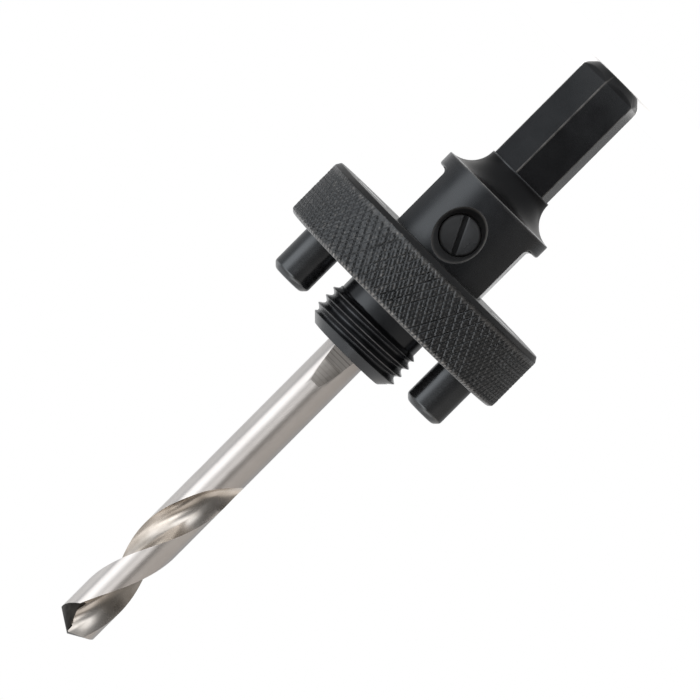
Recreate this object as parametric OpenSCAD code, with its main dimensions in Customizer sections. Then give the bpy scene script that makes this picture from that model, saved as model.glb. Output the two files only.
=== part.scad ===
// Hole saw arbor for saws of 32 mm and up: a hexagon shank turned in one piece
// with the saw's thread, a drive plate with two pins that slides on the body's
// flats, and a pilot drill held by a set screw.
// Millimetres. The arbor stands on the end of its shank, its axis is Z, and the
// drill's tip is at the top. The set screw faces -Y and the drive pins lie on X.

/* [Shank] */
// Distance across the flats of the hexagon (3/8 inch)
hex_af = 9.525; // [8:0.025:11]
// Length of the hexagon
hex_len = 19.45; // [14:0.05:40]
// Length of the plain neck between the hexagon and the fillet
neck_len = 0.2; // [0.2:0.1:5]
// Turn of the hexagon's flats about the axis
hex_turn = 8.3; // [0:0.1:60]
// Diameter that the hexagon's corners are turned down to
hex_corner_d = 10.94; // [10.5:0.01:12]
// Height of the chamfer on the shank's end
hex_chamfer = 1.65; // [0.5:0.05:2.5]

/* [Body] */
// Diameter of the body and of its two ears
body_d = 19.28; // [17.5:0.02:24]
// Distance across the two flats that the drive plate slides on
flats_af = 15.85; // [15.85:0.05:17]
// Radius of the fillet in the corner between a flat and its ear
flat_fillet = 0.8; // [0.2:0.1:1]
// Thickness of the ears, which stop the drive plate at the back
ear_t = 2.3; // [1:0.1:4]
// Length of the flats, from the ears to the front shoulder
guide_len = 17.3; // [16:0.05:30]
// Width of the broken edges
edge = 0.25; // [0.1:0.05:0.5]

/* [Saw thread] */
// Major diameter of the thread
thread_d = 15.85; // [15:0.05:15.85]
// Length of the thread
thread_len = 6.5; // [5:0.05:12]
// Diameter of the body's front face, inside the thread's end chamfer
thread_end_d = 12.5; // [11:0.1:13.5]
// Diameter of the relief behind the thread
relief_d = 14.1; // [13:0.1:14.5]
// Length of the relief, from the front shoulder to the thread
relief_len = 4.7; // [3.5:0.1:8]

/* [Retaining ring] */
// Diameter of the ring's round wire
wire_d = 2; // [1.7:0.1:2.2]
// Depth of the groove that holds the ring in the relief
groove_depth = 0.2; // [0.1:0.05:0.4]
// Angle of the gap between the ring's ends
ring_gap = 40; // [20:1:90]

/* [Drive plate] */
// Diameter over the knurled rim
plate_d = 40; // [36:0.5:60]
// Thickness of the plate
plate_t = 9.8; // [8:0.05:14]
// Width of the chamfers on the rim, and height of the front one
plate_chamfer = 0.5; // [0.3:0.1:1.2]
// Height of the chamfer at the back of the rim
back_chamfer = 0.8; // [0.3:0.1:1.5]
// Diameter of the recess in the front face that takes the ring
recess_d = 18.3; // [18:0.1:18.6]
// How far the ring lies below the front face
ring_below = 0.2; // [0.1:0.1:1]

/* [Drive pins] */
// Diameter of the pins
pin_d = 6.4; // [5:0.1:7]
// Diameter of the pins' shanks, which are pressed into the plate
pin_shank_d = 6; // [4:0.1:6.5]
// Distance between the pins' centres
pin_spacing = 26.6; // [26:0.1:30]
// How far the pins stand out of the plate
pin_out = 7.4; // [4:0.1:12]
// Width of the chamfer on the pins' ends
pin_chamfer = 0.8; // [0.2:0.1:1.5]

/* [Pilot drill] */
// Diameter of the drill
drill_d = 6.5; // [5.5:0.05:6.6]
// Length of the drill outside the body
drill_out = 56.4; // [50:0.1:90]
// Length of the drill's shank inside the body
drill_in = 29.1; // [24:0.1:31]
// Length of the fluted end, from the tip to the end of the run-out
flute_len = 32.5; // [28:0.5:45]
// Length over which the flutes run out
run_out = 5; // [3:0.5:15]
// Length of one full turn of the flutes
flute_lead = 42; // [30:0.5:60]
// Angle that each flute takes up round the drill
flute_angle = 98; // [80:1:110]
// How far each lip's straight face lies ahead of the axis
lip_ahead = 0.5; // [0.3:0.05:0.7]
// Distance from the axis at which that face goes over into the round gullet
lip_straight = 1.1; // [0.9:0.05:1.5]
// Included angle of the point
point_angle = 128; // [110:1:135]
// Angle by which the point falls away behind each cutting lip
lip_relief = 12; // [6:1:15]
// Angle behind each lip at which the point begins to fall away steeply
heel_start = 40; // [20:1:60]
// Steeper angle of that fall towards the heel
heel_relief = 42; // [20:1:50]
// Direction of the first flute's middle at the tip
flute_turn = 290.4; // [0:0.1:360]

/* [Clamping flat] */
// Length of the flat in front of the body
flat_out = 6; // [2:0.1:15]
// Depth at which the flat begins
flat_start_depth = 0.1; // [0.05:0.05:0.3]
// Slope of the flat's run-out, in degrees
flat_slope = 4.7; // [2:0.1:10]
// Depth of the flat under the set screw
flat_depth = 1; // [0.4:0.1:1.4]

/* [Set screw] */
// Diameter of the screw
screw_d = 6; // [4:0.1:6.5]
// Distance of the screw's axis from the ears
screw_from_ears = 5.15; // [4.6:0.05:8]
// Depth of the screw's face below the body's round side
screw_below = 1.55; // [1.3:0.05:3]
// Diameter of the countersink at the body's round side
countersink_d = 8.65; // [7:0.05:9]
// Width of the screwdriver slot
slot_w = 0.9; // [0.6:0.05:1.5]
// Depth of the screwdriver slot
slot_depth = 1.2; // [0.6:0.1:2]
// Turn of the slot from the arbor's axis
slot_turn = 25.5; // [0:0.5:90]

/* [Fits] */
// Radial clearance of the drive plate on the body
slide_fit = 0.08; // [0.02:0.01:0.1]
// Radial clearance of the drill, the set screw and the ring
seat_fit = 0.04; // [0.01:0.01:0.1]

/* [Quality] */
// Facets of a full circle
circle_facets = 96; // [48:8:180]
// Facets across one flute of the drill
flute_facets = 14; // [8:1:20]
// Facets across one land of the drill
land_facets = 10; // [4:1:12]
// Height of one ring of the drill's facets
flute_step = 0.8; // [0.5:0.1:2]
// Rings of facets between the flutes and the edge of the point
point_rings = 5; // [3:1:8]

/* [Hidden] */
$fn = circle_facets;
black_steel = [0.13, 0.13, 0.14];
bright_steel = [0.74, 0.73, 0.72];
over = 1;

// Radii
hex_corner_r = hex_corner_d / 2;
body_r = body_d / 2;
neck_fillet = body_r - hex_corner_r;
thread_r = thread_d / 2;
thread_end_r = thread_end_d / 2;
relief_r = relief_d / 2;
groove_r = relief_r - groove_depth;
drill_r = drill_d / 2;
bore_r = drill_r + seat_fit;
screw_r = screw_d / 2;
screw_hole_r = screw_r + seat_fit;

// Heights along the axis, from the end of the shank upwards
fillet_z = hex_len + neck_len;
ear_z = fillet_z + neck_fillet;
flats_z = ear_z + ear_t;
shoulder_z = flats_z + guide_len;
thread_z = shoulder_z + relief_len;
front_z = thread_z + thread_len;
ring_z = shoulder_z + seat_fit + wire_d / 2;
groove_end_z = ring_z + wire_d / 2 + seat_fit;
recess_depth = wire_d + 2 * seat_fit + ring_below;
plate_front_z = shoulder_z + recess_depth;
plate_z = plate_front_z - plate_t;
screw_z = flats_z + screw_from_ears;
tip_z = front_z + drill_out;
drill_end_z = front_z - drill_in;
flute_z = tip_z - flute_len;

// Drill point and flutes
half_point = point_angle / 2;
half_flute = flute_angle / 2;
lip_lead = asin(lip_ahead / drill_r);
heel_x = drill_r * cos(flute_angle + lip_lead);
heel_y = drill_r * sin(flute_angle + lip_lead) - lip_ahead;
gullet_r = (pow(lip_straight - heel_x, 2) + pow(heel_y, 2)) / (2 * heel_y);
gullet_y = lip_ahead + gullet_r;
flat_start_z = front_z + flat_out;
flat_level_z = flat_start_z - (flat_depth - flat_start_depth) / tan(flat_slope);

// Six cutters that mill the hexagon out of the turned shank
module hex_flats() {
    for (side = [0:5])
        rotate(hex_turn + 60 * side)
            translate([hex_af / 2, -hex_af, -over])
                cube([hex_af, 2 * hex_af, hex_len + over]);
}

// Half section of the turned body, from the shank's end to the thread
module body_profile() {
    difference() {
        polygon([
            [0, 0],
            [hex_corner_r - hex_chamfer, 0],
            [hex_corner_r, hex_chamfer],
            [hex_corner_r, fillet_z],
            [body_r, fillet_z],
            [body_r, shoulder_z - edge],
            [body_r - edge, shoulder_z],
            [groove_r, shoulder_z],
            [groove_r, groove_end_z],
            [relief_r, groove_end_z],
            [relief_r, thread_z],
            [thread_r, thread_z + thread_r - relief_r],
            [thread_r, front_z - (thread_r - thread_end_r)],
            [thread_end_r, front_z],
            [0, front_z]
        ]);
        translate([body_r, fillet_z])
            circle(r = neck_fillet);
    }
}

// Section of the cutter that mills one flat, with a rounded corner at the ear
module flat_cutter_profile() {
    difference() {
        square([body_r, guide_len + over]);
        difference() {
            square(flat_fillet);
            translate([flat_fillet, flat_fillet])
                circle(r = flat_fillet);
        }
    }
}

module side_flats() {
    for (side = [0, 180])
        rotate(side)
            translate([flats_af / 2, body_r + over, flats_z])
                rotate([90, 0, 0])
                    linear_extrude(2 * (body_r + over))
                        flat_cutter_profile();
}

// Blind hole for the drill's shank, with the cone that a drill leaves
module shank_bore() {
    cone_h = bore_r / tan(half_point);
    translate([0, 0, drill_end_z])
        cylinder(r = bore_r, h = drill_in + over);
    translate([0, 0, drill_end_z - cone_h])
        cylinder(r1 = 0, r2 = bore_r, h = cone_h);
    translate([0, 0, front_z - edge])
        cylinder(r1 = bore_r, r2 = bore_r + 2 * edge, h = 2 * edge);
}

// Hole and countersink of the set screw, open to -Y
module screw_hole() {
    sink_r = countersink_d / 2;
    sink_h = sink_r - screw_hole_r;
    translate([0, 0, screw_z])
        rotate([90, 0, 0]) {
            cylinder(r = screw_hole_r, h = body_r + over);
            translate([0, 0, body_r - sink_h])
                cylinder(r1 = screw_hole_r, r2 = sink_r + over, h = sink_h + over);
        }
}

module arbor_body() {
    color(black_steel)
        difference() {
            rotate_extrude()
                body_profile();
            hex_flats();
            side_flats();
            shank_bore();
            screw_hole();
        }
}

// Distance from the drill's axis to the flute's wall, at an angle from the
// flute's middle: the lip's straight face on the side of -half_flute, then a
// round gullet that it runs into, and the heel's wall at +half_flute
function gullet_wall(turn) =
    let (towards = lip_straight * cos(turn) + gullet_y * sin(turn))
    towards - sqrt(max(0, pow(towards, 2) - pow(lip_straight, 2) - pow(gullet_y, 2) + pow(gullet_r, 2)));
function flute_wall(a) =
    let (turn = a + half_flute + lip_lead)
    a >= half_flute ? drill_r
        : turn < atan2(lip_ahead, lip_straight) ? min(drill_r, lip_ahead / sin(turn))
        : gullet_wall(turn);

// Share of the flute's full depth at a height: it runs out along a parabola
function depth_share(z) = z >= flute_z + run_out ? 1 : 1 - pow((flute_z + run_out - z) / run_out, 2);

// Radius of the drill at an angle and a height. The flute also narrows as it
// gets shallower.
function drill_wall(a, z) =
    let (share = max(depth_share(z), 0.0001), width = sqrt(share))
    abs(a) >= half_flute * width ? drill_r
        : drill_r - share * (drill_r - flute_wall(a / width));

// Drop of the point's ground faces below the tip: a cone that falls away
// behind each lip, and more steeply towards the heel
function behind_lip(a) =
    let (blend = min(1, max(0, (a + 15) / 30)))
    (180 - half_flute - a) * blend * blend * (3 - 2 * blend);
function fall(behind) =
    (tan(lip_relief) * behind + tan(heel_relief) * max(0, behind - heel_start)) * PI / 180;
function point_z(a, r) = tip_z - r / tan(half_point) - r * fall(behind_lip(a));
corner_drop = drill_r / tan(half_point) + drill_r * fall(180 - flute_angle);

// Angles of the facets' edges over half a turn, from a flute's lip over its
// heel and the land to the next lip
heel_step = 1.5;
half_turn_angles = concat(
    [for (i = [0:flute_facets]) (flute_angle - heel_step) * i / flute_facets - half_flute],
    [for (i = [0:land_facets - 1]) half_flute + (180 - flute_angle) * i / land_facets]
);
columns = 2 * len(half_turn_angles);
function column_angle(i) = half_turn_angles[i % (columns / 2)];
function column_side(i) = i < columns / 2 ? 0 : 180;
function on_helix(r, a, side, z) =
    let (turn = a + side + flute_turn + 360 * (max(z, flute_z) - tip_z) / flute_lead)
    [r * cos(turn), r * sin(turn), z];

// Heights of the rings of points, from the chamfered end of the shank to the
// lowest corner of the point
flute_rings = ceil((flute_len - corner_drop) / flute_step);
ring_heights = concat(
    [drill_end_z, drill_end_z + 2 * edge],
    [for (k = [0:flute_rings]) flute_z + (flute_len - corner_drop) * k / flute_rings]
);
function ring_radius(a, z) = z == drill_end_z ? drill_r - 2 * edge : drill_wall(a, z);

// The drill: those rings, more that rise to the edge of the ground faces, and the tip
drill_points = concat(
    [for (z = ring_heights, i = [0:columns - 1])
        on_helix(ring_radius(column_angle(i), z), column_angle(i), column_side(i), z)],
    [for (k = [1:point_rings], i = [0:columns - 1])
        let (
            a = column_angle(i),
            r = drill_wall(a, tip_z),
            low = tip_z - corner_drop
        )
        on_helix(r, a, column_side(i), low + (point_z(a, r) - low) * k / point_rings)],
    [[0, 0, tip_z]]
);
function ring_start(k) = k * columns;
function next_column(i) = (i + 1) % columns;
last_ring = len(ring_heights) + point_rings - 1;
drill_faces = concat(
    [[for (i = [0:columns - 1]) i]],
    [for (k = [0:last_ring - 1], i = [0:columns - 1])
        [ring_start(k) + i, ring_start(k + 1) + next_column(i), ring_start(k) + next_column(i)]],
    [for (k = [0:last_ring - 1], i = [0:columns - 1])
        [ring_start(k) + i, ring_start(k + 1) + i, ring_start(k + 1) + next_column(i)]],
    [for (i = [0:columns - 1])
        [ring_start(last_ring) + i, len(drill_points) - 1, ring_start(last_ring) + next_column(i)]]
);

// Side view of what the clamping flat takes off the drill: level under the set
// screw, then rising to the surface in front of the body
module clamping_flat() {
    level_y = drill_r - flat_depth;
    start_y = drill_r - flat_start_depth;
    rotate([90, 0, -90])
        translate([0, 0, -drill_r - over])
            linear_extrude(2 * (drill_r + over))
                polygon([
                    [level_y, drill_end_z - over],
                    [level_y, flat_level_z],
                    [start_y, flat_start_z],
                    [drill_r + over, flat_start_z],
                    [drill_r + over, drill_end_z - over]
                ]);
}

module pilot_drill() {
    color(bright_steel)
        difference() {
            polyhedron(points = drill_points, faces = drill_faces, convexity = 6);
            clamping_flat();
        }
}

// A round wire bent into an open ring, in its groove against the shoulder
module retaining_ring() {
    ring_r = groove_r + seat_fit + wire_d / 2;
    color(black_steel)
        translate([0, 0, ring_z])
            rotate(90 + ring_gap / 2)
                rotate_extrude(angle = 360 - ring_gap)
                    translate([ring_r, 0])
                        circle(d = wire_d);
}

// Outline of the hole that slides on the body: a circle with two flats
module guide_outline() {
    intersection() {
        circle(r = body_r + slide_fit);
        square([flats_af + 2 * slide_fit, 2 * body_d], center = true);
    }
}

// Half section of the plate's blank
module plate_profile() {
    plate_r = plate_d / 2;
    polygon([
        [0, 0],
        [plate_r - plate_chamfer, 0],
        [plate_r, back_chamfer],
        [plate_r, plate_t - plate_chamfer],
        [plate_r - plate_chamfer, plate_t],
        [0, plate_t]
    ]);
}

module drive_plate() {
    color(black_steel)
        translate([0, 0, plate_z])
            difference() {
                rotate_extrude()
                    plate_profile();
                translate([0, 0, -over])
                    linear_extrude(plate_t + 2 * over)
                        guide_outline();
                translate([0, 0, plate_t - recess_depth])
                    cylinder(d = recess_d, h = recess_depth + over);
                for (side = [-1, 1])
                    translate([side * pin_spacing / 2, 0, -over])
                        cylinder(d = pin_shank_d, h = plate_t + 2 * over);
            }
}

// A pin with its shank pressed through the plate, flush at the back. Its working
// part begins in a small cone above the plate.
module drive_pin(side) {
    pin_r = pin_d / 2;
    shank_r = pin_shank_d / 2;
    pin_len = plate_t + pin_out;
    color(black_steel)
        translate([side * pin_spacing / 2, 0, plate_z])
            rotate_extrude()
                polygon([
                    [0, 0],
                    [shank_r - edge, 0],
                    [shank_r, edge],
                    [shank_r, plate_t],
                    [pin_r, plate_t + pin_r - shank_r],
                    [pin_r, pin_len - pin_chamfer],
                    [pin_r - pin_chamfer, pin_len],
                    [0, pin_len]
                ]);
}

module drive_pin_left() {
    drive_pin(-1);
}

module drive_pin_right() {
    drive_pin(1);
}

// A slotted grub screw whose flat end stands on the drill's flat
module set_screw() {
    tip_y = drill_r - flat_depth;
    screw_len = body_r - screw_below - tip_y;
    color(black_steel)
        translate([0, 0, screw_z])
            rotate([90, 0, 0])
                translate([0, 0, tip_y])
                    difference() {
                        rotate_extrude()
                            polygon([
                                [0, 0],
                                [screw_r - 4 * edge, 0],
                                [screw_r, 4 * edge],
                                [screw_r, screw_len - edge],
                                [screw_r - edge, screw_len],
                                [0, screw_len]
                            ]);
                        rotate(90 + slot_turn)
                            translate([-screw_d, -slot_w / 2, screw_len - slot_depth])
                                cube([2 * screw_d, slot_w, slot_depth + over]);
                    }
}

arbor_body();
pilot_drill();
retaining_ring();
drive_plate();
drive_pin_left();
drive_pin_right();
set_screw();
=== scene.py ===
"""The looks of a hole saw arbor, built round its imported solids.

The arbor stands on the end of its hexagon shank, its axis is Z and the drill's tip is at the top.
The mesh code counts in millimetres and writes metres, and the materials count in metres.
"""

from math import cos, pi, radians, sin, sqrt, tan

import bmesh
import bpy
import numpy as np
from mathutils import Matrix, Vector


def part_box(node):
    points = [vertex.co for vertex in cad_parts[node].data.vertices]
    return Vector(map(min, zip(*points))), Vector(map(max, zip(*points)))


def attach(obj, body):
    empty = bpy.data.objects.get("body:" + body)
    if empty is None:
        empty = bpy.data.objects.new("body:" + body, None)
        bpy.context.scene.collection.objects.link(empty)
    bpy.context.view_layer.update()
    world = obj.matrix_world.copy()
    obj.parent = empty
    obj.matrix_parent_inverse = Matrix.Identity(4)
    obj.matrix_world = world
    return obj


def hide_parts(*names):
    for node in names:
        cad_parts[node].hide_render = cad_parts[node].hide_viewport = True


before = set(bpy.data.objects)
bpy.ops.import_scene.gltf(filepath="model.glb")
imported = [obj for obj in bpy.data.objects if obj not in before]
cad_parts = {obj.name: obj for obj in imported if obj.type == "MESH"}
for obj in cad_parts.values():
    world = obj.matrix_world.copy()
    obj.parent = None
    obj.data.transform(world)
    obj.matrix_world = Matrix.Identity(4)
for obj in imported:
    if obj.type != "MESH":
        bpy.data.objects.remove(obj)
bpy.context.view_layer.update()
MM = 0.001
rng = np.random.default_rng(7)


def node_span(node):
    """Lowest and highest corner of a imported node, in millimetres."""
    low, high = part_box(node)
    return np.array(low) / MM, np.array(high) / MM


body_high = node_span("arbor_body")[1]
plate_low, plate_high = node_span("drive_plate")
pin_low, pin_high = node_span("drive_pin_right")
drill_low, drill_high = node_span("pilot_drill")
screw_low, screw_high = node_span("set_screw")

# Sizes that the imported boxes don't give: the hexagon shank
HEX_AF = 9.525
HEX_LEN = 19.45
HEX_TURN = radians(8.3)
HEX_CORNER_R = 5.47
HEX_CHAMFER = 1.65

# The body, from the large fillet to the shoulder
FILLET_Z = 19.65
EAR_T = 2.3
EAR_BACK_ROUND = 0.15
EAR_FRONT_ROUND = 0.4
FLATS_AF = 15.85
FLAT_FILLET = 0.8
SHOULDER_Z = 43.42
SHOULDER_CHAMFER = 0.25

# The ring's groove, the relief, the thread and the bore
GROOVE_R = 6.85
GROOVE_TOP_Z = 45.5
RELIEF_R = 7.05
SEAM_Z = SHOULDER_Z + 3.2  # where the level rings meet the rows of the thread
THREAD_Z = 48.12
THREAD_R = 7.925
THREAD_DEPTH = 0.72
THREAD_END_R = 6.25
PITCH = 1.5
CREST_Z = 52.21  # of one crest, on the +X side
BORE_R = 3.29

# The set screw and its hole
SCREW_Z = 31.27
SCREW_R = 3.0
SCREW_HOLE_R = 3.06
SINK_R = 4.325

# The drive plate and its pins
PLATE_CHAMFER = 0.5
BACK_CHAMFER = 0.8
GUIDE_FIT = 0.08
RECESS_R = 9.15
RECESS_CHAMFER = 0.25
PIN_SHANK_R = 3.0
PIN_HOLE_CHAMFER = 0.15

# The pilot drill
DRILL_R = 3.25
FLUTE_LEN = 32.5
RUN_OUT = 5.0
FLUTE_LEAD = 42.0
FLUTE_TURN = radians(290.4)
HALF_FLUTE = radians(49)
LIP_AHEAD = 0.5
LIP_STRAIGHT = 1.1
LIP_RELIEF = radians(12)
HALF_POINT = radians(64)
HEEL_START = radians(40)
HEEL_RELIEF = radians(42)

# What follows from these sizes and the boxes
BODY_R = body_high[0]
FRONT_Z = body_high[2]
FILLET_R = BODY_R - HEX_CORNER_R
EAR_Z = FILLET_Z + FILLET_R
FLATS_Z = EAR_Z + EAR_T
DRILL_END_Z = drill_low[2]
TIP_Z = drill_high[2]
FLUTE_Z = TIP_Z - FLUTE_LEN

# Angles in degrees up to which the shading of a piece stays smooth
BODY_SHARP = 28
PLATE_SHARP = 40
SMALL_SHARP = 25
DRILL_SHARP = 30


# Mesh helpers

WELD = 2e-7  # metres
SLIVER = 1e-7  # metres


def make_object(name, points, faces, sharp=30.0, wear=None):
    """A welded mesh object from points in millimetres, shaded smooth up to the sharp angle."""
    mesh = bpy.data.meshes.new(name)
    mesh.from_pydata((np.asarray(points) * MM).tolist(), [], [list(map(int, f)) for f in faces])
    if wear is not None:
        layer = mesh.attributes.new("wear", "FLOAT", "POINT")
        layer.data.foreach_set("value", np.asarray(wear, dtype=np.float32))
    shape = bmesh.new()
    shape.from_mesh(mesh)
    bmesh.ops.remove_doubles(shape, verts=shape.verts, dist=WELD)
    bmesh.ops.dissolve_degenerate(shape, edges=shape.edges, dist=SLIVER)
    bmesh.ops.recalc_face_normals(shape, faces=shape.faces)
    shape.to_mesh(mesh)
    shape.free()
    obj = bpy.data.objects.new(name, mesh)
    bpy.context.scene.collection.objects.link(obj)
    shade(obj, sharp)
    return obj


def shade(obj, sharp):
    """Smooth shading, but not over edges that turn by more than this many degrees."""
    for polygon in obj.data.polygons:
        polygon.use_smooth = True
    obj.data.set_sharp_from_angle(angle=radians(sharp))


def quad(k, i, j, columns):
    """The face between the rows k and k + 1 and the columns i and j."""
    low, high = k * columns, (k + 1) * columns
    return low + i, low + j, high + j, high + i


def grid_faces(rings, columns):
    """Faces between rings of points that close on themselves."""
    return [quad(k, i, (i + 1) % columns, columns)
            for k in range(rings - 1) for i in range(columns)]


def ring_points(radius, height, angles):
    heights = np.broadcast_to(height, angles.shape)
    return np.stack([radius * np.cos(angles), radius * np.sin(angles), heights], -1)


def turned(name, outline, columns, sharp=30.0):
    """A turned piece: outline is a list of (radius, height) from the axis back to the axis."""
    angles = np.linspace(0, 2 * pi, columns, endpoint=False)
    rings = [ring_points(r, z, angles) for r, z in outline]
    return make_object(name, np.concatenate(rings), grid_faces(len(rings), columns), sharp)


def bar(name, start, end):
    """A straight solid between two outlines with as many points."""
    count = len(start)
    lids = [list(range(count))[::-1], list(range(count, 2 * count))]
    return make_object(name, start + end, grid_faces(2, count) + lids)


def cut(obj, cutter):
    """Takes the cutter out of the object and deletes the cutter."""
    boolean = obj.modifiers.new("cut", "BOOLEAN")
    boolean.operation = "DIFFERENCE"
    boolean.solver = "EXACT"
    boolean.object = cutter
    graph = bpy.context.evaluated_depsgraph_get()
    mesh = bpy.data.meshes.new_from_object(obj.evaluated_get(graph))
    obj.modifiers.clear()
    old = obj.data
    obj.data = mesh
    bpy.data.meshes.remove(old)
    bpy.data.objects.remove(cutter)


def face_front(obj):
    """Turns a piece made along +Z to point at -Y, at the set screw's height."""
    to_screw = Matrix.Translation((0, 0, SCREW_Z * MM))
    obj.data.transform(to_screw @ Matrix.Rotation(pi / 2, 4, "X"))


def rounded(corner, before, after, width, steps=4):
    """Points that round a corner of an outline off, the width away on both sides."""
    corner, before, after = (np.array(p, float) for p in (corner, before, after))
    start = corner + (before - corner) / np.linalg.norm(before - corner) * width
    end = corner + (after - corner) / np.linalg.norm(after - corner) * width
    shares = np.linspace(0, 1, steps + 1)
    return [tuple((1 - s) ** 2 * start + 2 * s * (1 - s) * corner + s ** 2 * end) for s in shares]


def soften(outline, widths):
    """Rounds each corner of an outline by its own width; 0 keeps it."""
    points = []
    for k, (point, width) in enumerate(zip(outline, widths)):
        if width == 0:
            points.append(point)
        else:
            points += rounded(point, outline[k - 1], outline[k + 1], width)
    return points


# Arbor body: a turned outline with six and two flats, as rings whose radius depends on the angle

def hex_limit(angles):
    side = (angles - HEX_TURN + pi / 6) % (pi / 3) - pi / 6
    return HEX_AF / 2 / np.cos(side)


def flats_limit(angles, extra=0.0):
    return (FLATS_AF / 2 + extra) / np.maximum(np.abs(np.cos(angles)), 1e-6)


def body_angles():
    """Columns round the body: even ones, and one along each edge of the flats."""
    even = np.radians(np.arange(0, 360, 2.0))
    least_gap = radians(0.7)
    land = np.arccos(HEX_AF / 2 / HEX_CORNER_R)
    hex_edges = [HEX_TURN + k * pi / 3 + side * land for k in range(6) for side in (-1, 1)]
    flat = np.arccos(FLATS_AF / 2 / BODY_R)
    flat_edges = [k * pi + side * flat for k in range(2) for side in (-1, 1)]
    edges = np.array(hex_edges + flat_edges) % (2 * pi)
    gaps = np.array([np.min(np.abs((edges - a + pi) % (2 * pi) - pi)) for a in even])
    return np.sort(np.concatenate([even[gaps > least_gap], edges]))


def thread_radius(angle, height):
    """Radius of the 60 degree thread with narrow crests and rounded roots."""
    phase = ((height - CREST_Z) / PITCH - angle / (2 * pi)) % 1.0
    off = np.minimum(phase, 1 - phase)
    crest_end, root_start, hollow = 0.045, 0.42, 0.09
    fall = np.clip((off - crest_end) / (root_start - crest_end), 0, 1)
    return THREAD_R - THREAD_DEPTH * (fall + hollow * np.sin(pi * fall))


def thread_part(angles):
    """Points and faces of the thread, with rows that follow the helix and end in level rings."""
    rows_a_turn = 14
    start_slope = 1.2
    crest_worn, worn_depth = 0.18, 0.12
    turns = int(np.ceil((FRONT_Z - SEAM_Z) / PITCH)) + 1
    rows = turns * rows_a_turn + 1
    row = np.arange(rows)[:, None]
    height = SEAM_Z - PITCH + row * PITCH / rows_a_turn + PITCH * angles[None, :] / (2 * pi)
    height = np.clip(height, SEAM_Z, FRONT_Z)
    radius = thread_radius(angles[None, :], height)
    start = np.where(height < THREAD_Z, RELIEF_R, RELIEF_R + (height - THREAD_Z) * start_slope)
    end = THREAD_END_R + (FRONT_Z - height)
    radius = np.minimum(np.minimum(radius, start), end)
    radius = np.maximum(radius, np.minimum(RELIEF_R, end))
    points = np.stack([radius * np.cos(angles), radius * np.sin(angles), height], -1)
    columns = len(angles)
    faces = [quad(k, i, i + 1, columns) for k in range(rows - 1) for i in range(columns - 1)]
    faces += [quad(k, columns - 1, rows_a_turn * columns, columns)
              for k in range(rows - 1 - rows_a_turn)]
    wear = crest_worn * np.clip((radius - (THREAD_R - worn_depth)) / worn_depth, 0, 1)
    return points.reshape(-1, 3), faces, wear.reshape(-1)


def body_rings(angles):
    """The rings below the thread, from the axis at the foot to the relief, and their wear."""
    rings, wear = [], []
    free = np.full_like(angles, 1e3)
    hexagon = hex_limit(angles)
    flats = flats_limit(angles)

    def add(radius, height, limit=free, worn=0.0):
        rings.append(ring_points(np.minimum(radius, limit), height, angles))
        wear.append(np.zeros(len(angles)) + worn)

    # The hexagon, with a broken edge round its end face and wear along its edges
    end_r = HEX_CORNER_R - HEX_CHAMFER
    add(0.0, 0.0)
    add(end_r * 0.5, 0.0, hexagon)
    add(end_r - 0.1, 0.0, hexagon)
    add(end_r, 0.04, hexagon, 0.5)
    add(end_r + 0.06, 0.11, hexagon)
    off_corner = np.abs((angles - HEX_TURN) % (pi / 3) - pi / 6)
    edge_wear = 0.4 * (off_corner < radians(1.5))
    for share in np.linspace(0.1, 1, 12):
        add(end_r + share * HEX_CHAMFER, share * HEX_CHAMFER, hexagon, edge_wear * share)
    for height in np.linspace(HEX_CHAMFER + 0.5, HEX_LEN - 0.05, 16):
        add(HEX_CORNER_R, height, hexagon, edge_wear)
    add(HEX_CORNER_R, HEX_LEN, hexagon)

    # The neck and the large fillet
    add(HEX_CORNER_R, HEX_LEN)
    add(HEX_CORNER_R, FILLET_Z)
    for turn in np.radians(np.linspace(4, 90, 20)[:-1]):
        add(BODY_R - FILLET_R * cos(turn), FILLET_Z + FILLET_R * sin(turn))

    # The ears, rounded in front only where the flats leave them standing
    for turn in np.radians((8, 30, 52, 74, 90)):
        add(BODY_R - EAR_BACK_ROUND * (1 - sin(turn)), EAR_Z + EAR_BACK_ROUND * (1 - cos(turn)),
            worn=0.5 * sin(2 * turn) + 0.1)
    add(BODY_R, EAR_Z + 0.5)
    add(BODY_R, FLATS_Z - 0.5)
    ear = np.clip((np.abs(np.cos(angles)) - 0.84) / 0.04, 0, 1)
    for turn in np.radians((20, 40, 60, 80, 90)):
        add(BODY_R - EAR_FRONT_ROUND * ear * (1 - cos(turn)),
            FLATS_Z - EAR_FRONT_ROUND * (1 - sin(turn)))

    # The round sides and the two flats, up to the shoulder
    for share in np.linspace(0, 1, 7):
        rise = share * FLAT_FILLET
        slope = FLAT_FILLET - sqrt(max(FLAT_FILLET ** 2 - (FLAT_FILLET - rise) ** 2, 0))
        add(BODY_R, FLATS_Z + rise, flats_limit(angles, slope))
    for height in np.linspace(FLATS_Z + 1.2, SHOULDER_Z - 0.3, 14):
        add(BODY_R, height, flats)
    add(BODY_R, SHOULDER_Z - SHOULDER_CHAMFER, flats)
    add(BODY_R - SHOULDER_CHAMFER, SHOULDER_Z, flats)

    # The ring's groove and the relief
    add(GROOVE_R, SHOULDER_Z)
    add(GROOVE_R, GROOVE_TOP_Z)
    add(RELIEF_R, GROOVE_TOP_Z)
    add(RELIEF_R, GROOVE_TOP_Z + 0.3)
    add(RELIEF_R, SEAM_Z)
    return np.array(rings), np.array(wear)


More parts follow.
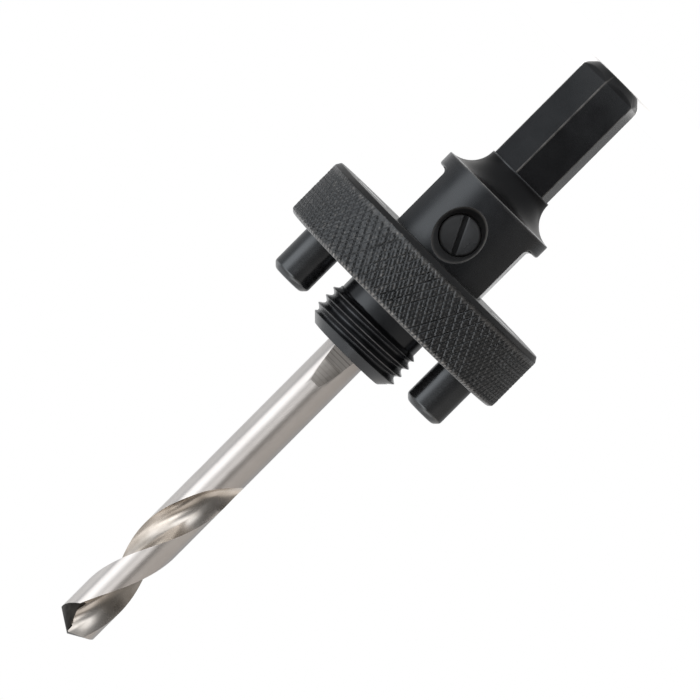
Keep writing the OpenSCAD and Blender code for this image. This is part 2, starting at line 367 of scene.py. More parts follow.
def bore_rings(angles):
    """The rings of the front face and of the blind hole, to the axis at its bottom."""
    bore_chamfer = 0.35
    outline = [(THREAD_END_R, FRONT_Z), (THREAD_END_R - 0.12, FRONT_Z), (5.0, FRONT_Z),
               (BORE_R + bore_chamfer, FRONT_Z), (BORE_R, FRONT_Z - 0.3), (BORE_R, 40.0),
               (BORE_R, DRILL_END_Z), (0.0, DRILL_END_Z - BORE_R / tan(HALF_POINT))]
    return np.array([ring_points(r, z, angles) for r, z in outline])


def make_body():
    angles = body_angles()
    columns = len(angles)
    below, below_wear = body_rings(angles)
    middle, middle_faces, middle_wear = thread_part(angles)
    above = bore_rings(angles)
    points = np.concatenate([below.reshape(-1, 3), middle, above.reshape(-1, 3)])
    faces = grid_faces(len(below), columns)
    offset = below.size // 3
    faces += [tuple(v + offset for v in f) for f in middle_faces]
    offset += len(middle)
    faces += [tuple(v + offset for v in f) for f in grid_faces(len(above), columns)]
    wear = np.concatenate([below_wear.reshape(-1), middle_wear, np.zeros(above.size // 3)])
    body = make_object("body_steel", points, faces, BODY_SHARP, wear)
    cutter = turned("screw_hole_cutter", [
        (0, 0), (SCREW_HOLE_R, 0), (SCREW_HOLE_R, BODY_R - (SINK_R - SCREW_HOLE_R)),
        (SINK_R + 1.0, BODY_R + 1.0), (0, BODY_R + 1.0)], columns=96)
    face_front(cutter)
    cut(body, cutter)
    shade(body, BODY_SHARP)
    return body


# Drive plate: a disc with a diamond knurl cut into its rim

KNURL_PITCH = 0.56
KNURL_ANGLE = radians(30)
KNURL_DEPTH = 0.23
RIM_ROWS = 73
RIM_COLUMNS = 1260


def eased(share):
    """A share from 0 to 1 with a soft start and end."""
    return share * share * (3 - 2 * share)


def knurl_height(arc, height, cells, blend):
    """0 at the bottom of a groove and 1 on a diamond's top; every other groove is shallower."""
    across = arc * cos(KNURL_ANGLE) / KNURL_PITCH
    along = height * sin(KNURL_ANGLE) / KNURL_PITCH
    shallow = 0.4
    groove_flat, groove_side = 0.03, 0.3
    tops = []
    for family, least, spread in ((across + along, 0.75, 0.25), (across - along, 0.6, 0.35)):
        groove = np.round(family)
        number = groove.astype(int) % cells
        depth = (least + spread * rng.uniform(0, 1, cells))[number]
        depth = depth * np.where(number % 2, shallow, 1.0)
        rise = np.clip((np.abs(family - groove) - groove_flat) / groove_side, 0, 1)
        tops.append(1 - depth * (1 - eased(rise)) * blend)
    return np.minimum(*tops)


def smooth_noise(cells_r, cells_c):
    """Soft random values in -1 to 1 over the plate's rim, which close on themselves round it."""
    values = rng.uniform(-1, 1, (cells_r + 2, cells_c))
    r = np.linspace(0, cells_r, RIM_ROWS)[:, None]
    c = np.linspace(0, cells_c, RIM_COLUMNS, endpoint=False)[None, :]
    r0, c0 = np.floor(r).astype(int), np.floor(c).astype(int)
    share_r, share_c = eased(r - r0), eased(c - c0)
    c1 = (c0 + 1) % cells_c
    top = values[r0, c0] * (1 - share_c) + values[r0, c1] * share_c
    bottom = values[r0 + 1, c0] * (1 - share_c) + values[r0 + 1, c1] * share_c
    return top * (1 - share_r) + bottom * share_r


def knurled_rim(angles, plate_r, z0, z1):
    """Heights of the rim's rows, and the radius and the wear at each of their points; the wear
    thins out towards -X as painted shade.
    """
    cells = 2 * round(pi * plate_r * cos(KNURL_ANGLE) / KNURL_PITCH)
    arc = angles / (2 * pi) * cells * KNURL_PITCH / cos(KNURL_ANGLE)
    heights = np.linspace(z0 + 0.12, z1 - 0.12, RIM_ROWS)
    from_back = (heights - z0)[:, None]
    from_front = (z1 - heights)[:, None]
    blend = np.clip((from_back - BACK_CHAMFER) / 0.9, 0.15, 1)
    raised = knurl_height(arc[None, :], heights[:, None] - z0, cells, blend)
    radius = plate_r - KNURL_DEPTH * (1 + 0.25 * smooth_noise(5, 60)) * (1 - raised)
    radius -= 0.02 * (1 + smooth_noise(18, 300))
    chamfers = np.minimum(from_back * PLATE_CHAMFER / BACK_CHAMFER, from_front)
    radius = np.minimum(radius, plate_r - PLATE_CHAMFER + chamfers)

    # Bare metal near both edges and in specks on the diamonds; the specks thin out towards -X,
    # painted shade on the side away from the light
    line_width = 0.3
    front_line = np.exp(-((from_front - 0.25) / line_width) ** 2)
    back_line = np.exp(-((from_back - 1.25) / line_width) ** 2)
    specks = np.clip(smooth_noise(30, 420) - 0.35, 0, 1)
    painted_shade_share = np.interp(np.cos(angles), [-0.5, 0.1], [0.2, 1.0])
    wear = painted_shade_share * (0.035 + 0.9 * specks) + 0.9 * front_line + 0.2 * back_line
    wear = np.where(from_back < BACK_CHAMFER - 0.03, 0, raised ** 3 * wear)
    return heights, radius, wear


def make_plate():
    plate_r, z0, z1 = plate_high[0], plate_low[2], plate_high[2]
    angles = np.linspace(0, 2 * pi, RIM_COLUMNS, endpoint=False)
    edge_r = plate_r - PLATE_CHAMFER

    def level(r, z, worn):
        return tuple(np.full(RIM_COLUMNS, float(value)) for value in (r, z, worn))

    rows = [level(edge_r - 0.9, z0, 0), level(edge_r - 0.06, z0, 0),
            level(edge_r + 0.03, z0 + 0.05, 0)]
    for height, radius, wear in zip(*knurled_rim(angles, plate_r, z0, z1)):
        rows.append((radius, np.full(RIM_COLUMNS, height), wear))
    rows += [level(edge_r + 0.04, z1 - 0.05, 0.7), level(edge_r - 0.06, z1, 0.3),
             level(edge_r - 0.9, z1, 0)]
    points = np.concatenate([ring_points(r, z, angles) for r, z, worn in rows])
    worn = np.concatenate([worn for r, z, worn in rows])
    last = (len(rows) - 1) * RIM_COLUMNS
    lids = [list(range(RIM_COLUMNS))[::-1], [last + i for i in range(RIM_COLUMNS)]]
    faces = grid_faces(len(rows), RIM_COLUMNS) + lids
    plate = make_object("plate_steel", points, faces, PLATE_SHARP, worn)

    # The guide for the body's flats, then the ring's recess, then the holes for the pins
    guide_r = BODY_R + GUIDE_FIT
    half_turn = pi / 2 - np.arccos((FLATS_AF / 2 + GUIDE_FIT) / guide_r)
    outline = [(guide_r * cos(a), guide_r * sin(a)) for centre in (pi / 2, -pi / 2)
               for a in np.linspace(centre - half_turn, centre + half_turn, 48)]
    cut(plate, bar("guide_cutter", [(x, y, z0 - 1) for x, y in outline],
                   [(x, y, z1 + 1) for x, y in outline]))
    cut(plate, turned("recess_cutter", [
        (0, SHOULDER_Z), (RECESS_R, SHOULDER_Z), (RECESS_R, z1 - RECESS_CHAMFER),
        (RECESS_R + RECESS_CHAMFER + 1.0, z1 + 1.0), (0, z1 + 1.0)], columns=160))
    pin_x = (pin_low[0] + pin_high[0]) / 2
    for x in (pin_x, -pin_x):
        hole = turned("pin_hole_cutter", [
            (0, z0 - 1), (PIN_SHANK_R + PIN_HOLE_CHAMFER + 1, z0 - 1),
            (PIN_SHANK_R, z0 + PIN_HOLE_CHAMFER), (PIN_SHANK_R, z1 + 1), (0, z1 + 1)], columns=64)
        hole.data.transform(Matrix.Translation((x * MM, 0, 0)))
        cut(plate, hole)
    shade(plate, PLATE_SHARP)
    return plate


# Drive pins and set screw

def make_pin(name, node):
    low, high = node_span(node)
    centre, radius = (low[0] + high[0]) / 2, (high[0] - low[0]) / 2
    step_z = plate_high[2]
    back_chamfer, front_chamfer = 0.25, 0.8
    outline = [(0, low[2]), (PIN_SHANK_R - back_chamfer, low[2]),
               (PIN_SHANK_R, low[2] + back_chamfer), (PIN_SHANK_R, step_z),
               (radius, step_z + radius - PIN_SHANK_R), (radius, high[2] - front_chamfer),
               (radius - front_chamfer, high[2]), (0, high[2])]
    pin = turned(name, soften(outline, [0, 0.08, 0.08, 0, 0, 0.3, 0.35, 0]), 96, SMALL_SHARP)
    pin.data.transform(Matrix.Translation((centre * MM, 0, 0)))
    return pin


def make_screw():
    tip, face = -screw_high[1], -screw_low[1]
    tip_chamfer = 1
    outline = [(0, tip), (SCREW_R - tip_chamfer, tip), (SCREW_R, tip + tip_chamfer),
               (SCREW_R, face - 0.16), (SCREW_R - 0.24, face), (0, face)]
    screw = turned("screw_steel", soften(outline, [0, 0.1, 0.1, 0.1, 0.1, 0]), 96, SMALL_SHARP)
    half_slot, slot_depth, slot_turn = 0.36, 1.2, radians(115.5)
    broken, flare = 0.08, 0.9
    across = [(-half_slot, face - slot_depth), (half_slot, face - slot_depth),
              (half_slot, face - broken), (half_slot + flare, face + 2 * broken),
              (-half_slot - flare, face + 2 * broken), (-half_slot, face - broken)]
    cutter = bar("slot_cutter", *([(x, y, z) for y, z in across] for x in (-4.0, 4.0)))
    cutter.data.transform(Matrix.Rotation(slot_turn, 4, "Z"))
    cut(screw, cutter)
    face_front(screw)
    shade(screw, SMALL_SHARP)
    return screw


# Pilot drill: rings of points that follow the flutes, and the ground point

FLUTE_COLUMNS = 65
LAND_COLUMNS = 44


def fall(behind):
    """Drop of the point behind a lip, as a share of the distance from the axis."""
    return tan(LIP_RELIEF) * behind + tan(HEEL_RELIEF) * np.maximum(behind - HEEL_START, 0)


def flute_section(count):
    """Points across one flute from its lip's corner to its heel, with its middle on +X."""
    lead = np.arcsin(LIP_AHEAD / DRILL_R)
    heel = DRILL_R * np.array([cos(2 * HALF_FLUTE + lead), sin(2 * HALF_FLUTE + lead)])
    rise = heel[1] - LIP_AHEAD
    radius = ((LIP_STRAIGHT - heel[0]) ** 2 + rise ** 2) / (2 * rise)
    centre = np.array([LIP_STRAIGHT, LIP_AHEAD + radius])
    lip_x = DRILL_R * cos(lead)
    straight = lip_x - LIP_STRAIGHT
    end_turn = np.arctan2(*(heel - centre)[::-1]) % (2 * pi)
    arc = radius * (1.5 * pi - end_turn)
    along = np.linspace(0, straight + arc, count)
    turn = 1.5 * pi - np.maximum(along - straight, 0) / radius
    x = np.where(along < straight, lip_x - along, centre[0] + radius * np.cos(turn))
    y = np.where(along < straight, LIP_AHEAD, centre[1] + radius * np.sin(turn))
    back = -(HALF_FLUTE + lead)
    return np.stack([x * cos(back) - y * sin(back), x * sin(back) + y * cos(back)], -1)


SECTION = flute_section(FLUTE_COLUMNS)


def on_circle(turns):
    return DRILL_R * np.stack([np.cos(turns), np.sin(turns)], -1)


def drill_section(z):
    """One ring of the drill's outline at a height, before it is turned along the helix."""
    share = float(np.clip(1 - max(FLUTE_Z + RUN_OUT - z, 0) ** 2 / RUN_OUT ** 2, 1e-5, 1))
    width = sqrt(share)
    spread = np.linspace(-HALF_FLUTE, HALF_FLUTE, FLUTE_COLUMNS)
    flute = on_circle(spread * width) + share * (SECTION - on_circle(spread))
    start = HALF_FLUTE * width
    land_turns = start + (pi - 2 * start) * np.arange(1, LAND_COLUMNS) / LAND_COLUMNS
    half = np.concatenate([flute, on_circle(land_turns)])
    return np.concatenate([half, -half])


def on_helix(section, z):
    """A section at its height, turned as the flutes are there."""
    turn = FLUTE_TURN + 2 * pi * (np.maximum(z, FLUTE_Z) - TIP_Z) / FLUTE_LEAD
    x, y = section[:, 0], section[:, 1]
    return np.stack([x * np.cos(turn) - y * np.sin(turn), x * np.sin(turn) + y * np.cos(turn),
                     np.broadcast_to(z, x.shape)], -1)


def point_height(turn, reach):
    """Height of the ground point; turn is the angle from the middle of a flute."""
    half_blend = radians(15)
    behind = (pi - HALF_FLUTE - turn) * eased(np.clip((turn + half_blend) / (2 * half_blend), 0, 1))
    return TIP_Z - reach / tan(HALF_POINT) - reach * fall(behind)


def make_drill():
    columns = 2 * (FLUTE_COLUMNS + LAND_COLUMNS - 1)
    end_chamfer = 0.5
    low = TIP_Z - DRILL_R / tan(HALF_POINT) - DRILL_R * fall(pi - 2 * HALF_FLUTE)
    round_bar = drill_section(FLUTE_Z)
    rings = [on_helix(round_bar * (1 - end_chamfer / DRILL_R), DRILL_END_Z)]
    rings += [on_helix(round_bar, z)
              for z in np.arange(DRILL_END_Z + end_chamfer, FLUTE_Z - 1, 2.0)]
    run_out = FLUTE_Z + RUN_OUT * (1 - np.cos(np.linspace(0, pi / 2, 40)))
    for z in np.concatenate([run_out, np.linspace(FLUTE_Z + RUN_OUT, low, 112)[1:]]):
        rings.append(on_helix(drill_section(z), z))

    # From the last full ring up to the outer edge of the point, and from there to the tip
    full = drill_section(TIP_Z)
    reach = np.hypot(full[:, 0], full[:, 1])
    turn = np.arctan2(full[:, 1], full[:, 0])
    turn = np.concatenate([turn[:columns // 2], turn[:columns // 2]])
    start = HALF_FLUTE + 0.01
    top = point_height((turn + start) % (2 * pi) - start, reach)
    for share in np.linspace(0, 1, 22)[1:]:
        rings.append(on_helix(full, low + share * (top - low)))
    edge = rings[-1]
    for share in (0.99, 0.8, 0.6, 0.4, 0.2, 0.0):
        rings.append((edge - [0, 0, TIP_Z]) * share + [0, 0, TIP_Z])
    points = np.array(rings).reshape(-1, 3)
    faces = grid_faces(len(rings), columns) + [list(range(columns))[::-1]]
    drill = make_object("drill_steel", points, faces, DRILL_SHARP)
    cut(drill, flat_cutter())
    shade(drill, DRILL_SHARP)
    return drill


FLAT_TOP_Z = FRONT_Z + 6.0
FLAT_SLOPE = tan(radians(4.7))
FLAT_END_DEPTH = 0.1
FLAT_DEPTH = 1.0
CUTTER_STEP = 0.62


def flat_depth(z):
    """Depth of the clamping flat below the drill's round: its run-out above, level below."""
    return np.minimum(FLAT_DEPTH, FLAT_END_DEPTH + (FLAT_TOP_Z - z) * FLAT_SLOPE)


def flat_cutter():
    """What the clamping flat takes off, with the faint waves that the cutter leaves."""
    wave_height = 0.0012
    low = DRILL_END_Z - 1
    heights = np.append(np.arange(low, FLAT_TOP_Z, 0.12), FLAT_TOP_Z)
    waves = wave_height * np.sin(2 * pi * heights / CUTTER_STEP)
    profile = [(DRILL_R - d + w, z) for d, w, z in zip(flat_depth(heights), waves, heights)]
    profile += [(DRILL_R + 1, FLAT_TOP_Z), (DRILL_R + 1, low)]
    return bar("flat_cutter", *([(x, -y, z) for y, z in profile] for x in (-4.0, 4.0)))


# Materials

# Most values of a noise texture lie between these
NOISE_LOW, NOISE_HIGH = 0.3, 0.7


def new_material(name):
    material = bpy.data.materials.new(name)
    material.use_nodes = True
    nodes = material.node_tree.nodes
    nodes.clear()
    out = nodes.new("ShaderNodeOutputMaterial")
    shader = nodes.new("ShaderNodeBsdfPrincipled")
    material.node_tree.links.new(shader.outputs[0], out.inputs[0])
    return material, shader


class Graph:
    """Short names for the nodes of one material."""

    def __init__(self, material):
        self.nodes = material.node_tree.nodes
        self.links = material.node_tree.links
        coordinates = self.nodes.new("ShaderNodeTexCoord")
        self.object = coordinates.outputs["Object"]

    def link(self, value, socket):
        if isinstance(value, bpy.types.NodeSocket):
            self.links.new(value, socket)
        else:
            socket.default_value = value

    def noise(self, scale, detail=3.0, stretch=(1, 1, 1)):
        mapping = self.nodes.new("ShaderNodeMapping")
        mapping.inputs["Scale"].default_value = stretch
        self.link(self.object, mapping.inputs["Vector"])
        noise = self.nodes.new("ShaderNodeTexNoise")
        noise.inputs["Scale"].default_value = scale
        noise.inputs["Detail"].default_value = detail
        self.link(mapping.outputs[0], noise.inputs["Vector"])
        return noise.outputs["Fac"]

    def math(self, operation, a, b=0.0):
        node = self.nodes.new("ShaderNodeMath")
        node.operation = operation
        self.link(a, node.inputs[0])
        self.link(b, node.inputs[1])
        return node.outputs[0]

    def remap(self, value, low, high, to_low, to_high):
        node = self.nodes.new("ShaderNodeMapRange")
        limits = {"From Min": low, "From Max": high, "To Min": to_low, "To Max": to_high}
        for name, number in limits.items():
            node.inputs[name].default_value = number
        self.link(value, node.inputs["Value"])
        return node.outputs["Result"]

    def between(self, noise, low, high):
        """A noise texture's value, spread from low to high."""
        return self.remap(noise, NOISE_LOW, NOISE_HIGH, low, high)

    def mix(self, factor, a, b):
        node = self.nodes.new("ShaderNodeMix")
        node.data_type = "RGBA"
        self.link(factor, node.inputs["Factor"])
        self.link(a, node.inputs["A"])
        self.link(b, node.inputs["B"])
        return node.outputs["Result"]

    def bump(self, height, strength, distance):
        node = self.nodes.new("ShaderNodeBump")
        node.inputs["Strength"].default_value = strength
        node.inputs["Distance"].default_value = distance
        self.link(height, node.inputs["Height"])
        return node.outputs["Normal"]

    def attribute(self, name):
        node = self.nodes.new("ShaderNodeAttribute")
        node.attribute_name = name
        return node.outputs["Fac"]

    def xyz(self):
        node = self.nodes.new("ShaderNodeSeparateXYZ")
        self.link(self.object, node.inputs[0])
        return node.outputs


BARE_STEEL = (0.34, 0.33, 0.32)
MIRROR_TINT = (0.88, 0.94, 1.0, 1)


def rim_highlight_and_wear(g, worn):
    """Wear round the rim of the screw's countersink, plus a painted highlight that brightens it
    towards -X and the shank's end.
    """
    x, y, z = g.xyz()
    out = g.math("SQRT", g.math("ADD", g.math("MULTIPLY", x, x), g.math("MULTIPLY", y, y)))
    rim = g.remap(out, (BODY_R - 0.4) * MM, (BODY_R - 0.1) * MM, 0, worn)
    above_screw = g.math("SUBTRACT", z, SCREW_Z * MM)
    # Painted highlight: the rim gets more bare steel on the side towards -X and the shank's end
    side = g.math("ADD", g.math("MULTIPLY", x, 0.87), g.math("MULTIPLY", above_screw, 0.5))
    return g.math("MULTIPLY", rim, g.remap(side, -0.0036, -0.001, 1, 0.35))


def black_oxide(name, base, rough, gloss=1.65, turned_marks=True, edge=0.0001, rim_glint_and_wear=0.0):
    """Blackened steel: near black, satin, with turning marks round the axis and bare worn edges,
    and, if asked, a countersink rim that is worn and partly painted highlight.
    """
    material, shader = new_material(name)
    g = Graph(material)
    cloud = g.noise(scale=220, detail=4)
    grain = g.noise(scale=2600, detail=3)
    rings = g.noise(scale=1400, detail=2, stretch=(0.02, 0.02, 1)) if turned_marks else grain
    darker, lighter = ((*[c * share for c in base], 1) for share in (0.8, 1.25))
    dark = g.mix(g.between(cloud, 0, 1), darker, lighter)
    patches = g.remap(g.noise(scale=900, detail=4), 0.35, 0.65, 0.35, 1.0)
    wear = g.math("MULTIPLY", g.attribute("wear"), patches)
    if rim_glint_and_wear:
        wear = g.math("MAXIMUM", wear, rim_highlight_and_wear(g, rim_glint_and_wear))
    g.link(g.mix(wear, dark, (*BARE_STEEL, 1)), shader.inputs["Base Color"])
    g.link(g.between(cloud, rough - 0.05, rough + 0.07), shader.inputs["Roughness"])
    shader.inputs["IOR"].default_value = gloss
    shader.inputs["Specular Tint"].default_value = MIRROR_TINT
    height = g.math("ADD", g.math("MULTIPLY", rings, 0.7), g.math("MULTIPLY", grain, 0.3))
    normal = g.bump(height, strength=0.35, distance=0.000012)
    bevel = g.nodes.new("ShaderNodeBevel")
    bevel.samples = 4
    bevel.inputs["Radius"].default_value = edge
    g.link(bevel.outputs[0], normal.node.inputs["Normal"])
    g.link(normal, shader.inputs["Normal"])
    g.link(g.math("MULTIPLY", wear, 0.8), shader.inputs["Metallic"])
    return material


def shank_steel():
    """Ground and polished drill steel, whose fine marks stretch the highlights along it."""
    material, shader = new_material("drill_shank")
    g = Graph(material)
    cloud = g.between(g.noise(scale=180, detail=4), 0, 1)
    colour = g.mix(cloud, (0.73, 0.705, 0.69, 1), (0.79, 0.765, 0.75, 1))
    g.link(colour, shader.inputs["Base Color"])
    shader.inputs["Metallic"].default_value = 1.0
    shader.inputs["Anisotropic"].default_value = 0.9
    shader.inputs["Anisotropic Rotation"].default_value = 0.25
    tangent = g.nodes.new("ShaderNodeTangent")
    tangent.direction_type = "RADIAL"
    tangent.axis = "Z"
    g.link(tangent.outputs[0], shader.inputs["Tangent"])
    g.link(g.between(g.noise(scale=700, detail=2), 0.28, 0.3), shader.inputs["Roughness"])
    marks = g.noise(scale=3000, detail=2, stretch=(1, 1, 0.03))
    g.link(g.bump(marks, strength=0.12, distance=0.00001), shader.inputs["Normal"])
    return material


def cut_steel(name, light, dark, rough, stretch, depth):
    """Bare steel with the marks of a cutter or wheel, from light to dark along them."""
    material, shader = new_material(name)
    g = Graph(material)
    marks = g.noise(scale=1500, detail=3, stretch=stretch)
    cloud = g.noise(scale=350, detail=3)
    share = g.math("ADD", g.math("MULTIPLY", marks, 0.6), g.math("MULTIPLY", cloud, 0.4))
    colour = g.mix(g.remap(share, 0.38, 0.62, 0, 1), (*light, 1), (*dark, 1))
    g.link(colour, shader.inputs["Base Color"])
    shader.inputs["Metallic"].default_value = 1.0
    g.link(g.between(cloud, rough - 0.04, rough + 0.05), shader.inputs["Roughness"])
    g.link(g.bump(marks, strength=0.3, distance=depth), shader.inputs["Normal"])
    return material


def milled_steel():
    """The clamping flat: dull, with dark lines across it where the cutter stepped."""
    material, shader = new_material("drill_flat")
    g = Graph(material)
    z = g.xyz()["Z"]
    wave = g.math("SINE", g.math("MULTIPLY", z, 2 * pi / (CUTTER_STEP * MM)))
    lines = g.remap(wave, 0.55, 1.0, 0, 1)
    patches = g.remap(g.noise(scale=300, detail=2, stretch=(0.1, 0.1, 1)), 0.35, 0.6, 0.1, 1)
    lines = g.math("MULTIPLY", lines, patches)
    lines = g.math("MULTIPLY", lines, g.remap(z, 0.0575, 0.0595, 1, 0.25))
    colour = g.mix(lines, (0.5, 0.475, 0.45, 1), (0.2, 0.18, 0.165, 1))
    g.link(colour, shader.inputs["Base Color"])
    shader.inputs["Metallic"].default_value = 1.0
    g.link(g.between(g.noise(scale=900, detail=3), 0.3, 0.38), shader.inputs["Roughness"])
    g.link(g.bump(lines, strength=-0.3, distance=0.00002), shader.inputs["Normal"])
    return material


# Which material each face gets, by the middle of the face in millimetres and its normal

def body_faces(middle, normal):
    """0 turned body, 1 fillet (painted shade), 2 hexagon, 3 countersink (painted light), 4 the
    hexagon's chamfer.
    """
    x, y, z = middle
    sink_reach, below_skin = 4.6, 0.06
    if z < HEX_CHAMFER:
        return 4
    if z < HEX_LEN:
        return 2
    near_screw = y < 0 and x * x + (z - SCREW_Z) ** 2 < sink_reach ** 2
    if near_screw and sqrt(x * x + y * y) < BODY_R - below_skin:
        return 3
    return 1 if FILLET_Z < z < EAR_Z - 0.05 else 0


def plate_faces(middle, normal):
    """1 for the back and its chamfer, which get a duller copy of the oxide as painted shade."""
    return 1 if middle[2] < plate_low[2] + BACK_CHAMFER - 0.02 or normal.z < -0.5 else 0


def screw_faces(middle, normal):
    """1 for the slot and the ring round the face, which get a duller copy of the oxide as painted
    shade.
    """
    x, y, z = middle
    bright_r = 2.65
    deep = y - screw_low[1] > 0.2
    return 1 if deep or x * x + (z - SCREW_Z) ** 2 > bright_r ** 2 else 0


def drill_faces(middle, normal):
    """0 for the shank and lands, 1 in the flutes, 2 on the point (painted shade), 3 on the clamping
    flat.
    """
    x, y, z = middle
    on_flat = abs(y + DRILL_R - flat_depth(z)) < 0.01
    if on_flat and z < FLAT_TOP_Z + 0.01 and normal.y < -0.98:
        return 3
    if z > TIP_Z - 5.2 and normal.z > 0.25:
        return 2
    return 1 if z > FLUTE_Z and sqrt(x * x + y * y) < DRILL_R - 0.009 else 0


def give(obj, materials, node, body, rule=None):
    """Takes the node's place with these materials; the rule picks one for each face."""
    obj.data.materials.clear()
    for material in materials:
        obj.data.materials.append(material)
    for face in obj.data.polygons:
        face.material_index = rule(np.array(face.center) / MM, face.normal) if rule else 0
    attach(obj, body)
    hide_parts(node)


body_black = black_oxide("body_black", (0.0075, 0.0078, 0.009), rough=0.21, edge=0.00018)
hex_black = black_oxide("hex_black", (0.0062, 0.0065, 0.0075), rough=0.2, gloss=1.41,
                        turned_marks=False)
chamfer_black = black_oxide("chamfer_black", (0.006, 0.006, 0.0065), rough=0.3, gloss=1.3)
# The fillet: a darker, duller copy of the body's oxide, painted shade where it would mirror the
# bright floor
fillet_painted_shade = black_oxide("fillet_painted_shade", (0.006, 0.006, 0.0065), rough=0.35, gloss=1.2)
plate_black = black_oxide("plate_black", (0.0035, 0.0035, 0.004), rough=0.26, gloss=1.68)
# The plate's back and back chamfer: a duller copy of the plate's oxide, painted shade
plate_back_painted_shade = black_oxide("plate_back_painted_shade", (0.008, 0.008, 0.0083), rough=0.35, gloss=1.25)
pin_black = black_oxide("pin_black", (0.0085, 0.0085, 0.009), rough=0.2, gloss=1.88)
screw_black = black_oxide("screw_black", (0.026, 0.026, 0.027), rough=0.3)
# The screw's slot and the ring round its face: a duller copy of the screw's oxide, painted shade
screw_slot_painted_shade = black_oxide("screw_slot_painted_shade", (0.032, 0.032, 0.033), rough=0.4, gloss=1.4)
# The countersink: a lighter, duller copy of the body's oxide as painted light, with a painted
# highlight on its rim
sink_painted_light = black_oxide("sink_painted_light", (0.011, 0.011, 0.0115), rough=0.35, gloss=1.35,
                         edge=0.00018, rim_glint_and_wear=0.5)
wire_black = black_oxide("wire_black", (0.04, 0.04, 0.04), rough=0.3, turned_marks=False)
flute_bright = cut_steel("drill_flute", light=(0.68, 0.645, 0.61), dark=(0.46, 0.42, 0.375),
                         rough=0.24, stretch=(0.25, 0.25, 0.07), depth=0.000006)
# The ground point: bare steel coloured near black, painted shade
point_painted_shade = cut_steel("drill_point", light=(0.05, 0.048, 0.045), dark=(0.025, 0.024, 0.023),
                       rough=0.3, stretch=(1, 1, 0.2), depth=0.00001)

give(make_body(), [body_black, fillet_painted_shade, hex_black, sink_painted_light, chamfer_black],
     "arbor_body", "body", body_faces)
give(make_plate(), [plate_black, plate_back_painted_shade], "drive_plate", "plate", plate_faces)
for side in ("left", "right"):
    pin_node = f"drive_pin_{side}"
    give(make_pin(f"pin_{side}_steel", pin_node), [pin_black], pin_node, "plate")
give(make_screw(), [screw_black, screw_slot_painted_shade], "set_screw", "screw", screw_faces)
give(make_drill(), [shank_steel(), flute_bright, point_painted_shade, milled_steel()],
     "pilot_drill", "body", drill_faces)
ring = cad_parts["retaining_ring"]
ring.data.materials.clear()
ring.data.materials.append(wire_black)


# Floor, light and camera

FLOOR_R = 80.0
FLOOR_Z = -0.03
TENT_R = 3000.0
TENT_STRENGTH = 4.0


def seen_ray(g):
    """1 for the rays that show the background: from the camera, off metal and through glass."""
    path = g.nodes.new("ShaderNodeLightPath")
    seen = g.math("MAXIMUM", path.outputs["Is Camera Ray"], path.outputs["Is Glossy Ray"])
    return g.math("MAXIMUM", seen, path.outputs["Is Transmission Ray"])


def make_floor():
    """A pale disc just below the shank's end, which shows white."""
    columns = 96
    angles = np.linspace(0, 2 * pi, columns, endpoint=False)
    floor = make_object("floor", ring_points(FLOOR_R, FLOOR_Z, angles), [list(range(columns))])
    material, shader = new_material("floor_white")
    shader.inputs["Base Color"].default_value = (0.9, 0.9, 0.9, 1)
    shader.inputs["Roughness"].default_value = 0.9
    g = Graph(material)
    shader.inputs["Emission Color"].default_value = (1, 1, 1, 1)
    g.link(g.math("MULTIPLY", seen_ray(g), 0.5), shader.inputs["Emission Strength"])
    floor.data.materials.append(material)


def make_world():
    """White behind everything, and a plain grey light."""
    world = bpy.data.worlds.new("white")
    bpy.context.scene.world = world
    world.use_nodes = True
    g = Graph(world)
    colour = g.mix(seen_ray(g), (0.6, 0.6, 0.6, 1), (1, 1, 1, 1))
    g.link(colour, g.nodes["Background"].inputs["Color"])


# Soft panels and dark cards of the tent, as (degrees from the front towards +X, level, warmth), at
# the object's own height, above it, near the top and below
TENT_LEVEL = [(-180, 0.35, 0), (-150, 0.35, 0), (-132, 0.35, 0), (-118, 0.27, 0.06),
              (-60, 0.28, 0.06), (-40, 0.17, 0.03), (-10, 0.14, 0.02), (0, 0.25, 0), (18, 0.3, 0),
              (27, 0.54, 0), (33, 0.93, 0), (39, 1.28, 0), (46, 1.7, 0), (65, 1.65, 0),
              (72, 1.3, 0), (78, 0.7, -0.02), (84, 0.47, -0.02), (100, 0.47, 0), (130, 0.55, 0),
              (150, 0.68, 0), (172, 0.6, 0)]
TENT_HIGH = [(-180, 0.55, 0), (-140, 0.74, 0.04), (-106, 0.9, 0.08), (-75, 0.78, 0.08),
             (-44, 0.78, 0.08), (-34, 0.42, 0.12), (-26, 0.16, 0.1), (-19, 0.48, 0.06),
             (-11, 1.35, 0.04), (-4, 2.2, 0.02), (4, 2.4, 0.02), (11, 2.2, 0.02), (19, 1.8, 0.02),
             (27, 1.8, 0.01), (36, 1.8, 0), (53, 1.4, 0), (68, 0.85, 0), (77, 0.75, 0),
             (87, 0.8, 0), (98, 1.3, 0.01), (110, 1.5, 0.01), (124, 1.4, 0.01), (140, 1.1, 0.01),
             (160, 0.9, 0)]
TENT_TOP = [(-180, 0.7, 0), (-105, 0.6, 0.04), (-75, 1.4, 0.04), (-45, 1.6, 0.04),
            (-15, 1.5, 0.04), (15, 1.0, 0.04), (45, 0.66, 0.04), (75, 0.75, 0.02), (120, 0.9, 0),
            (160, 0.8, 0)]
TENT_LOW = [(-180, 0.75, 0), (-140, 0.74, 0.04), (-106, 0.38, 0.06), (-59, 0.28, 0.06),
            (-40, 0.14, 0.06), (-26, 0.07, 0.1), (-4, 0.13, 0.02), (19, 0.14, 0.02), (36, 0.17, 0),
            (53, 0.19, 0), (68, 0.27, 0), (87, 0.8, 0), (98, 1.15, 0.01), (124, 1.15, 0.01),
            (140, 0.95, 0.01), (160, 0.8, 0)]


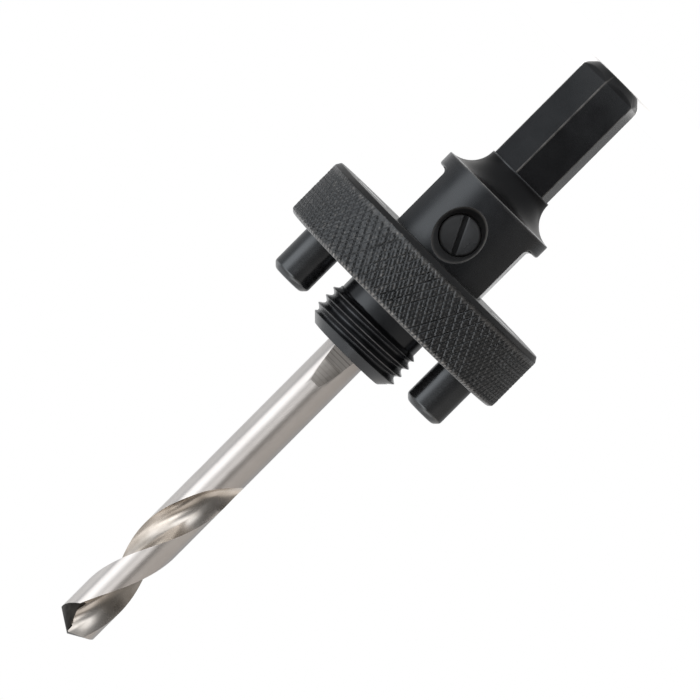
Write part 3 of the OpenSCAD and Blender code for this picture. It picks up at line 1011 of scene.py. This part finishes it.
def tent_ramp(g, azimuth, panels):
    """The panels as a colour ramp over the azimuth, which runs from 0 to 1."""
    node = g.nodes.new("ShaderNodeValToRGB")
    g.link(azimuth, node.inputs["Fac"])
    elements = node.color_ramp.elements
    elements.remove(elements[0])
    elements[0].position = 0.0
    for k, (degrees, level, warmth) in enumerate(panels):
        element = elements[0] if k == 0 else elements.new((degrees + 180) / 360)
        share = level / TENT_STRENGTH
        element.color = (share * (1 + warmth), share, share * (1 - warmth), 1)
    return node.outputs["Color"]


def make_tent():
    """A light tent round the object, open at the back: what the steel mirrors."""
    around = np.radians(np.arange(-260, 81, 5.0))
    rings = [ring_points(TENT_R * cos(rise), TENT_R * sin(rise), around)
             for rise in np.radians(np.arange(-85, 86, 5.0))]
    columns = len(around)
    faces = [quad(k, i, i + 1, columns) for k in range(len(rings) - 1) for i in range(columns - 1)]
    tent = make_object("light_tent", np.concatenate(rings), faces)
    tent.visible_camera = False
    material = bpy.data.materials.new("tent_panels")
    material.use_nodes = True
    g = Graph(material)
    g.nodes.remove(g.nodes["Principled BSDF"])
    glow = g.nodes.new("ShaderNodeEmission")
    g.link(glow.outputs[0], g.nodes["Material Output"].inputs["Surface"])
    x, y, z = g.xyz()
    azimuth = g.remap(g.math("ARCTAN2", x, g.math("MULTIPLY", y, -1.0)), -pi, pi, 0, 1)
    height = g.math("MULTIPLY", z, 1 / (TENT_R * MM))
    level, high, top, low = (tent_ramp(g, azimuth, panels)
                             for panels in (TENT_LEVEL, TENT_HIGH, TENT_TOP, TENT_LOW))
    above = g.mix(g.remap(height, 0.55, 0.68, 0, 1), high, top)
    steep = g.mix(g.remap(height, -0.1, 0.1, 0, 1), low, above)
    from_level = g.math("ABSOLUTE", g.math("ADD", height, 0.05))
    g.link(g.mix(g.remap(from_level, 0.23, 0.37, 0, 1), level, steep), glow.inputs["Color"])
    glow.inputs["Strength"].default_value = TENT_STRENGTH
    tent.data.materials.append(material)


def make_camera():
    """The photograph's view: from the screw's side, a little from below, turned by 45 degrees."""
    aim = Vector((-0.06, 0.0, 53.9)) * MM
    distance = 715 * MM
    azimuth, below, roll = radians(-92.7), radians(2.5), radians(45.1)
    back = Vector((cos(azimuth) * cos(below), sin(azimuth) * cos(below), -sin(below)))
    axis = (Vector((0, 0, 1)) - back * back.z).normalized()
    side = axis.cross(back)
    right = -cos(roll) * axis - sin(roll) * side
    up = back.cross(right)
    turn = Matrix((right, up, back)).transposed().to_4x4()
    data = bpy.data.cameras.new("camera")
    data.lens, data.sensor_width = 259, 36
    data.clip_start, data.clip_end = 0.01, 20
    camera = bpy.data.objects.new("camera", data)
    camera.matrix_world = Matrix.Translation(aim + back * distance) @ turn
    bpy.context.scene.collection.objects.link(camera)
    bpy.context.scene.camera = camera


make_floor()
make_world()
make_tent()
make_camera()
bpy.context.scene.view_settings.view_transform = "Standard"
